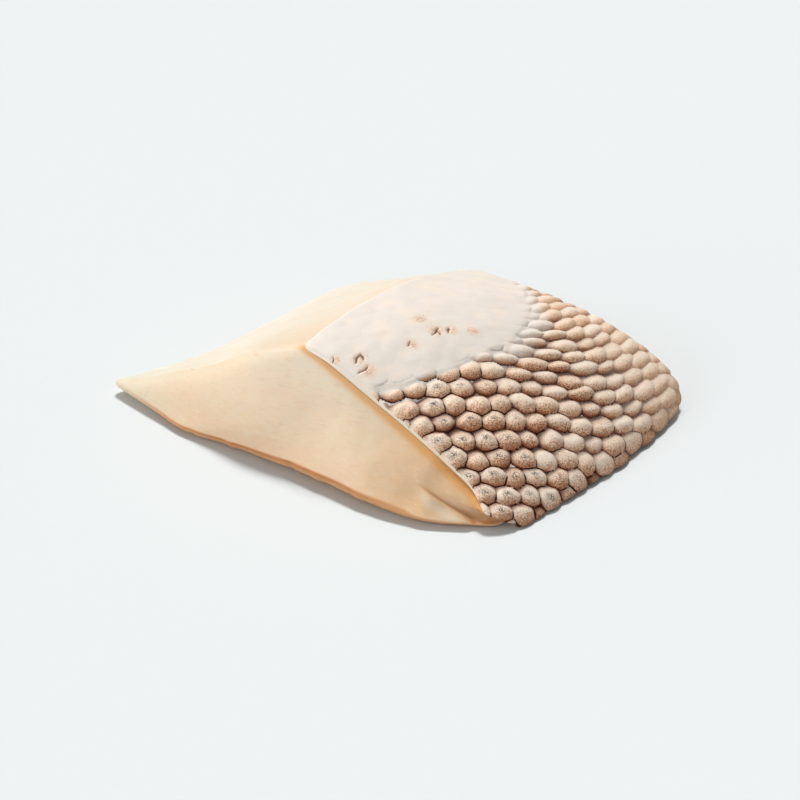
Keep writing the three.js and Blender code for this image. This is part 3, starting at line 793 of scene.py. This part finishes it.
def flesh_piece(flesh, skin):
    """Block of flesh: rings of points from the foot up the cut faces and over under the skin."""
    dome = Dome(skin)
    corner_steps, side_steps = outline_steps(POINT_SPACING)
    skin_outline, _ = skin_line(corner_steps, side_steps)
    base, _ = rounded_outline(BASE_CORNERS, corner_steps, side_steps)
    normals = outward_normals(skin_outline)
    front = np.maximum(-normals[:, 1], 0)
    back = np.maximum(-normals[:, 0], 0)

    # Upper edge, tucked in just behind the skin's cut
    low = dome.underside(*skin_outline.T)
    drop = np.minimum(dome.top(*skin_outline.T) - low, dome.thickness)
    out = CUT_LEAN * front * drop - EDGE_TUCK - BACK_INSET * back
    tucked = skin_outline + normals * out[:, None]
    inner = np.minimum(out, 0)[:, None]
    under = skin_outline + normals * inner
    edge = np.column_stack([tucked, dome.underside(*under.T) - SKIN_REST])

    # Foot and rounded rim
    tip = np.array(BASE_CORNERS[TIP_CORNER][:2], float)
    foot_middle = np.array(FOOT_MIDDLE, float)
    tip_share = bell(np.linalg.norm(base - tip, axis=1) / TIP_REACH)
    bay, bay_reach, bay_depth = TIP_BAY
    bulge = bay_depth * bell(base[:, 0], bay, bay_reach) + lumpy(edge, RIM_LUMPS)
    for nick, depth in RIM_NICKS:
        bulge = bulge + depth * bell(base[:, 0], nick, NICK_REACH)
    base = base + normals * (bulge * front ** 2)[:, None]
    front_height = np.interp(base[:, 0], *zip(*RIM_HEIGHTS))
    rim_height = mix(flesh.rim_height / MM + TIP_LIFT * tip_share, front_height, front)
    rim_height = np.minimum(rim_height, edge[:, 2] / 2)
    inset = flesh.foot_inset / MM * (1 + TIP_UNDERCUT * tip_share)
    inset = inset + FRONT_UNDERCUT * rim_height * front * (1 - tip_share)
    distance = np.linalg.norm(base - foot_middle, axis=1)
    rows = []
    for angle in np.linspace(0, 90, RIM_ROWS + 1)[:-1]:
        share = 1 - math.sin(math.radians(angle))
        lift = 1 - math.cos(math.radians(angle))
        plan = mix(base, foot_middle, (share * inset / distance)[:, None])
        rows.append(np.column_stack([plan, lift * rim_height]))
    rim = np.column_stack([base, rim_height])

    # Cut faces
    levels = np.linspace(0, 1, WALL_ROWS) ** 1.15
    wall = mix(rim[None], edge[None], levels[:, None, None])
    wall = softened(wall, WALL_SMOOTHING * np.sin(np.pi * levels ** 0.75) ** 0.9)
    level = levels[:, None]
    room = (1 - back) * ramp(edge[:, 2] / SWELL_FULL_AT)
    swell = mix(flesh.side_swell, flesh.front_swell, front) / MM * 4 * level * (1 - level)
    ripple = sum(
        np.sin(across * wall[..., 0] + along * wall[..., 1] + start)
        for across, along, start in RIPPLE_WAVES
    ) * flesh.ripple / MM * np.sin(np.pi * level)
    crease = FOLD_LOW[1] + FOLD_SLOPE * (wall[..., 0] - FOLD_LOW[0])
    start, full, fade, end = FOLD_SPAN
    span = ramp((wall[..., 0] - start) / (full - start)) * front
    span = span * ramp((end - wall[..., 0]) / (end - fade))
    under_fold = crease - wall[..., 2]
    fold = flesh.fold_step / MM * (ramp(under_fold / FOLD_WIDTH + 0.5) - 0.5) * span
    uneven = lumpy(wall.reshape(-1, 3), WALL_LUMPS)
    uneven = uneven.reshape(level.size, -1) * np.sin(np.pi * level) ** 0.5
    relief = ((swell + ripple + uneven) * room + fold) * math.sqrt(0.5)
    wall = wall + relief[..., None] * np.column_stack([normals, np.ones(len(normals))])
    rows += list(wall)

    # Top, which follows the underside of the skin
    middle = np.array(CAP_MIDDLE, float)
    for share in TOP_LEVELS:
        plan = middle + (under - middle) * share
        height = dome.underside(*plan.T) - SKIN_REST
        rows.append(np.column_stack([plan, height]))
    foot_point = [*foot_middle, 0]
    top_point = [*middle, dome.underside(*middle) - SKIN_REST]
    places = np.concatenate([*rows, [foot_point, top_point]])
    count = len(base)
    faces = []
    for row in range(len(rows) - 1):
        lower = row * count + np.arange(count)
        faces += band_faces(lower + count, lower)
    faces += fan_faces(len(places) - 2, np.arange(count)[::-1])
    faces += fan_faces(len(places) - 1, (len(rows) - 1) * count + np.arange(count))

    # Marks for the colours
    above = len(places) - (len(wall) + RIM_ROWS) * count

    def on_wall(values, below, over):
        under_rim = np.broadcast_to(below, (RIM_ROWS, count)).ravel()
        return np.concatenate([under_rim, values.ravel(), np.full(above, over)])

    gap_to_skin = np.linalg.norm(wall - edge, axis=2)
    to_tip = np.linalg.norm(wall[..., :2] - tip, axis=2)
    first, second = (np.array(place) for place in STREAK)
    way = second - first
    share = np.clip(((wall - first) @ way) / (way @ way), 0, 1)
    to_streak = np.linalg.norm(wall - first - share[..., None] * way, axis=2)
    front_share = np.broadcast_to(front, gap_to_skin.shape)
    above_rim = (wall[..., 2] - rim_height) / mix(0.4, 1.1, ramp(wall[..., 0], 8, 22))
    attributes = {
        # Painted warm shade in the groove under the skin's cut edge
        "groove": on_wall(bell(gap_to_skin / 3.0) * front_share, 0, 1),
        # Painted glow of light through the thin flesh along the table, and of light bounced there
        "rim": on_wall(1 - ramp(above_rim), 1, 0),
        "front": on_wall(front_share, front, 0),
        "shoulder": on_wall(bell(gap_to_skin / 26) * (1 - front_share), 0, 0),
        "tip": on_wall(bell(to_tip / 26), tip_share, 0),
        # Painted shade in the fold's crease, and a painted highlight on the lobe under it
        "fold": on_wall(bell((under_fold + 0.25) / 0.5) * span, 0, 0),
        "lobe_highlight": on_wall(bell(under_fold, 1.1, 0.8) * span, 0, 0),
        "streak": on_wall(bell(to_streak / 0.8), 0, 0),
        "corner": on_wall(ramp((46 - wall[..., 0]) / 28) * front_share, 1, 0),
        "height": places[:, 2],
    }
    return closed_mesh("flesh_block", places, faces, attributes)


# Materials

def both_ways(operation):
    """An operator on values, and its reflected form."""

    def plain(value, other):
        return value.math(operation, value, other)

    def reflected(value, other):
        return value.math(operation, other, value)

    return plain, reflected


class Value:
    """A number in a material's nodes, so that shader maths reads as Python expressions."""

    __add__, __radd__ = both_ways("ADD")
    __sub__, __rsub__ = both_ways("SUBTRACT")
    __mul__, __rmul__ = both_ways("MULTIPLY")

    def __init__(self, paint, socket):
        self.paint = paint
        self.socket = socket

    def math(self, operation, *numbers, clamp=False):
        settings = {"operation": operation, "use_clamp": clamp}
        return self.paint.node("ShaderNodeMath", settings, dict(enumerate(numbers)))

    def between(self, low, high):
        """0 below low, 1 above high and smooth between them."""
        settings = {"interpolation_type": "SMOOTHSTEP"}
        values = {"Value": self, "From Min": low, "From Max": high}
        return self.paint.node("ShaderNodeMapRange", settings, values)

    def clamped(self):
        return self.math("ADD", self, 0, clamp=True)

    def at_least(self, other):
        return self.math("MAXIMUM", self, other)


class Paint:
    """A material and its nodes."""

    def __init__(self, name):
        self.material = bpy.data.materials.new(name)
        self.material.use_nodes = True
        self.material.node_tree.nodes.clear()

    def node(self, kind, settings=None, values=None, output=0):
        """Adds a node with its settings, and then the values or links of its sockets."""
        tree = self.material.node_tree
        made = tree.nodes.new(kind)
        for name, setting in (settings or {}).items():
            setattr(made, name, setting)
        for socket, value in (values or {}).items():
            if isinstance(value, Value):
                tree.links.new(value.socket, made.inputs[socket])
            else:
                made.inputs[socket].default_value = value
        return Value(self, made.outputs[output]) if made.outputs else None

    def marks(self, *names):
        """Values of the mesh's attributes."""
        kind = "ShaderNodeAttribute"
        return [self.node(kind, {"attribute_name": name}, output="Fac") for name in names]

    def place(self, stretch=(1, 1, 1), turn=0):
        """Place on the object in metres, turned about the vertical and stretched."""
        at = self.node("ShaderNodeTexCoord", output="Object")
        values = {"Vector": at, "Rotation": (0, 0, math.radians(turn)), "Scale": stretch}
        return self.node("ShaderNodeMapping", {"vector_type": "TEXTURE"}, values)

    def noise(self, size, detail=2, roughness=0.5, place=None):
        """Noise from 0 to 1, with features of a size in millimetres."""
        values = {
            "Vector": place or self.place(), "Scale": 1 / (size * MM), "Detail": detail,
            "Roughness": roughness,
        }
        return self.node("ShaderNodeTexNoise", values=values)

    def layered(self, colour, *layers):
        """Colour under layers of other colours, each given with its share."""
        settings = {"data_type": "RGBA", "clamp_factor": True}
        for over, share in layers:
            first, second = (c if isinstance(c, Value) else (*c, 1) for c in (colour, over))
            values = {0: share, 6: first, 7: second}
            colour = self.node("ShaderNodeMix", settings, values, output=2)
        return colour

    def bump(self, height, depth, strength):
        """Normal of a relief of a depth in millimetres."""
        values = {"Height": height, "Distance": depth * MM, "Strength": strength}
        return self.node("ShaderNodeBump", values=values)

    def finish(self, **sockets):
        """Adds the surface shader and returns the material."""
        values = {name.replace("_", " "): value for name, value in sockets.items()}
        shader = self.node("ShaderNodeBsdfPrincipled", values=values)
        self.node("ShaderNodeOutputMaterial", values={"Surface": shader})
        return self.material


def skin_material(skin):
    """Cream scales with speckled brown free edges that also carry painted shade, painted shade in the
    creases, pits and along the loose edges, and a pale cut edge.
    """
    paint = Paint("toothfish_skin")
    crease, edge, tone, lift, line = paint.marks("crease", "shaded_free_edge", "tone", "lift", "line")
    film, haze, crack, stain = paint.marks("film", "haze", "crack", "stain")
    brown, gloom, far, front = paint.marks("brown", "gloom", "far", "front")
    dot, cut, rim = paint.marks("dot", "cut", "rim")
    speckle = paint.noise(0.45, detail=2, roughness=0.65)
    fine = paint.noise(0.28, detail=1)
    cloud = paint.noise(5, detail=3)
    stipple = (speckle - 0.5) * 4.5 + (fine - 0.5) * 2.5

    # Each scale: cream at its root and top, tan and then brown specks towards its free edge; this brown
    # is partly its own pigment and partly painted shade on its shaded side
    side = edge + (tone - 0.5) * 0.4
    free = edge.between(-0.4, 0.5)
    near = 1 - far * 0.65
    tint = (side + stipple * 0.35 + brown * 0.2 + gloom * 0.35).between(0.35, 1.3)
    specks = (side + stipple * 0.9 + brown * 0.2).between(0.95, 1.5)

    # Painted shade in the creases and pits and on the low parts of the scales, darkest at the free
    # edges, where shadow falls under them
    shade = (1 - lift.between(0.45, 0.82)) * free
    root = (1 - lift.between(0.45, 0.8)) * (1 - free)
    uneven = 0.35 + cloud * 1.0 + front * 0.4
    crease_shade = (crease * (free * 1.1 + 0.1) * uneven).between(0.35, 0.8)
    pit_shade = (1 - lift.between(0.3, 0.6)) * (0.35 + front * 0.35 + free * 0.3)

    # Film of the smooth band, with its stains
    mottle = (cloud - 0.5) + (speckle - 0.5) * 0.5
    veil = paint.layered(
        skin.film,
        (skin.cream, mottle.between(-0.1, 0.3)),
        (skin.tan, (stain + stipple * 0.3).between(0.3, 1.1) * 0.6),
        (skin.brown, (stain + stipple * 0.6).between(0.9, 1.5) * stain * 0.6),
    )
    # The film's colour thins along the creases seen in it, so the painted crease shade shows through
    over = film.between(0.15, 0.85) * (1 - line.between(0.2, 0.7) * 0.8)
    over = over.at_least((haze + stipple * 0.2).between(0.2, 1.0))
    body = paint.layered(
        skin.cream,
        (skin.tan, (side + stipple * 0.5).between(-0.35, 0.8)),
        (skin.brown, tint * (0.3 + brown * 0.3) * near),
        (skin.brown, specks * (0.4 + brown * 0.4) * near),
        (skin.dark, dot * front * (stipple + 0.8).between(0.2, 0.9) * 0.9),
        # Painted shade on the low parts of the scales, in their creases and in their pits
        (skin.brown, shade * (0.65 + gloom * 0.3) * near),
        (skin.brown, root * (0.25 + front * 0.45) * near),
        (skin.dark, (crease_shade + pit_shade).clamped() * (0.95 - far * 0.8)),
        (veil, over),
        (skin.dark, crack.between(0.5, 0.95) * 0.8),
        # Painted shade along the loose edges, where the skin curls under
        (skin.dark, rim * 0.85),
        (skin.cut, cut.between(0.15, 0.6)),
    )

    normal = paint.bump(speckle * 0.6 + fine * 0.4, 0.12, strength=0.6)
    gloss = 0.55 + (cloud - 0.5) * 0.2 - film * 0.1
    return paint.finish(
        Base_Color=body, Roughness=gloss, Normal=normal, Subsurface_Weight=0.04,
        Subsurface_Radius=(1.0, 0.6, 0.4), Subsurface_Scale=0.6 * MM, Specular_IOR_Level=0.08,
    )


def flesh_material(flesh):
    """Moist raw flesh, pale at the belly side and peach at the cut, with painted light: an amber glow
    along the table where it is thin, warm shade under the skin and in the fold, and a highlight on the
    lobe.
    """
    paint = Paint("toothfish_flesh")
    front, groove, tip, fold, lobe_highlight = paint.marks("front", "groove", "tip", "fold", "lobe_highlight")
    streak, corner, height = paint.marks("streak", "corner", "height")
    rim, shoulder = paint.marks("rim", "shoulder")
    cloud = paint.noise(14, detail=3)
    fibre = paint.noise(1.1, detail=3, place=paint.place((1, 6, 1), turn=35))
    strand = paint.noise(0.8, detail=2, place=paint.place((7, 1, 1), turn=-20))

    # Reach of the painted glow along the table: less at the tip and the front corner
    rim_glow = front * (1 - tip * 0.9) * (1 - corner * 0.55)
    body = paint.layered(
        flesh.pale,
        (flesh.peach, (front * 0.9 + (cloud - 0.5) * 0.5).clamped()),
        (flesh.warm, (1 - height.between(3, 20)) * front * 0.35),
        (flesh.pale, height.between(17, 27) * front * 0.6),
        (flesh.warm, (corner * 0.45 + (cloud - 0.5) * 0.3).clamped()),
        (flesh.warm, shoulder * 0.3),
        (flesh.tip, tip * 0.8),
        (flesh.pale, fibre.between(0.5, 0.75) * 0.35),
        (flesh.warm, strand.between(0.52, 0.75) * 0.25),
        # Painted warm shade under the skin's cut edge
        (flesh.honey, groove.between(0.05, 0.75) * 0.85),
        # Painted shade in the fold's crease, and a painted highlight on the lobe under it
        (flesh.amber, fold * 0.55),
        (flesh.pale, lobe_highlight * 0.6),
        # Painted glow of light through the thin flesh along the table
        (flesh.honey, rim.between(0.0, 0.6) * rim_glow * 0.5),
        (flesh.amber, rim.between(0.3, 1.0) * rim_glow * 0.9),
        (flesh.pale, streak * (0.4 + fibre * 0.6)),
    )

    normal = paint.bump(fibre * 0.6 + strand * 0.4, 0.16, strength=0.7)
    gloss = 0.34 + (cloud - 0.5) * 0.25 + (fibre - 0.5) * 0.1
    return paint.finish(
        Base_Color=body, Roughness=gloss, Normal=normal, Subsurface_Weight=0.35,
        Subsurface_Radius=(1.0, 0.55, 0.3), Subsurface_Scale=3.0 * MM, Specular_IOR_Level=0.5,
    )


def floor_material(stage):
    """Matt pale studio paper."""
    paint = Paint("studio_floor")
    grain = paint.noise(3, detail=2)
    return paint.finish(
        Base_Color=(*stage.floor, 1), Roughness=0.9 + (grain - 0.5) * 0.05, Specular_IOR_Level=0.0,
    )


# Pieces and stage

class FILLET_OT_flesh(bpy.types.Operator):
    """Build the block of flesh in place of its CAD node"""

    bl_idname = "fillet.flesh"
    bl_label = "Flesh"

    def execute(self, context):
        scene = context.scene
        piece = flesh_piece(scene.fillet_flesh, scene.fillet_skin)
        piece.data.materials.append(flesh_material(scene.fillet_flesh))
        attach(piece, "root")
        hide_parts("flesh")
        return {"FINISHED"}


class FILLET_OT_skin(bpy.types.Operator):
    """Build the scaled skin in place of its CAD node"""

    bl_idname = "fillet.skin"
    bl_label = "Skin"

    def execute(self, context):
        settings = context.scene.fillet_skin
        piece = skin_piece(settings)
        piece.data.materials.append(skin_material(settings))
        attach(piece, "root")
        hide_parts("skin")
        return {"FINISHED"}


class FILLET_OT_stage(bpy.types.Operator):
    """Build the floor, the lights and the camera"""

    bl_idname = "fillet.stage"
    bl_label = "Stage"

    def execute(self, context):
        scene = context.scene
        stage = scene.fillet_stage
        mesh = bpy.data.meshes.new("floor")
        signs = ((-1, -1), (1, -1), (1, 1), (-1, 1))
        corners = [(x * FLOOR_HALF, y * FLOOR_HALF, 0) for x, y in signs]
        mesh.from_pydata(corners, [], [(0, 1, 2, 3)])
        mesh.materials.append(floor_material(stage))
        floor = bpy.data.objects.new("floor", mesh)
        scene.collection.objects.link(floor)

        world = bpy.data.worlds.new("studio")
        world.use_nodes = True
        background = world.node_tree.nodes["Background"]
        background.inputs["Color"].default_value = (*stage.sky, 1)
        background.inputs["Strength"].default_value = stage.sky_strength
        scene.world = world

        lights = (
            ("key", stage.key, stage.key_angle, KEY_SOURCE, "EXCLUDE"),
            ("back", stage.back, BACK_ANGLE, BACK_SOURCE, "INCLUDE"),
            ("fill", stage.fill, FILL_ANGLE, FILL_SOURCE, None),
        )
        for name, strength, angle, source, on_floor in lights:
            sun = bpy.data.lights.new(name, "SUN")
            sun.energy = strength
            sun.angle = angle
            light = bpy.data.objects.new(name, sun)
            light.rotation_euler = Vector(source).to_track_quat("Z", "Y").to_euler()
            scene.collection.objects.link(light)
            if on_floor:
                receivers = bpy.data.collections.new(f"{name}_receivers")
                receivers.objects.link(floor)
                receivers.collection_objects[0].light_linking.link_state = on_floor
                light.light_linking.receiver_collection = receivers

        lens = bpy.data.cameras.new("camera")
        lens.lens = stage.lens
        lens.sensor_width = 36
        camera = bpy.data.objects.new("camera", lens)
        back = Vector((0, -math.cos(stage.elevation), math.sin(stage.elevation)))
        camera.location = Vector(CAMERA_TARGET) + back * stage.distance
        camera.rotation_euler = (math.pi / 2 - stage.elevation, 0, 0)
        scene.collection.objects.link(camera)
        scene.camera = camera

        scene.view_settings.view_transform = "Standard"
        scene.view_settings.look = "None"
        return {"FINISHED"}


class FILLET_PT_panel(bpy.types.Panel):
    """Settings and pieces of the fillet"""

    bl_idname = "FILLET_PT_panel"
    bl_label = "Toothfish Fillet"
    bl_space_type = "VIEW_3D"
    bl_region_type = "UI"
    bl_category = "Fillet"

    def draw(self, context):
        scene = context.scene
        parts = (
            (FILLET_OT_flesh, scene.fillet_flesh),
            (FILLET_OT_skin, scene.fillet_skin),
            (FILLET_OT_stage, scene.fillet_stage),
        )
        for operator, settings in parts:
            box = self.layout.box()
            for name in settings.__annotations__:
                box.prop(settings, name)
            box.operator(operator.bl_idname)


GROUPS = {
    "fillet_skin": FilletSkinSettings,
    "fillet_flesh": FilletFleshSettings,
    "fillet_stage": FilletStageSettings,
}
CLASSES = (*GROUPS.values(), FILLET_OT_flesh, FILLET_OT_skin, FILLET_OT_stage, FILLET_PT_panel)


def register():
    for cls in CLASSES:
        bpy.utils.register_class(cls)
    for name, group in GROUPS.items():
        setattr(bpy.types.Scene, name, PointerProperty(type=group))


def unregister():
    for name in GROUPS:
        delattr(bpy.types.Scene, name)
    for cls in reversed(CLASSES):
        bpy.utils.unregister_class(cls)


def main():
    register()
    bpy.ops.fillet.stage()
    bpy.ops.fillet.flesh()
    bpy.ops.fillet.skin()


if __name__ == "__main__":
    main()
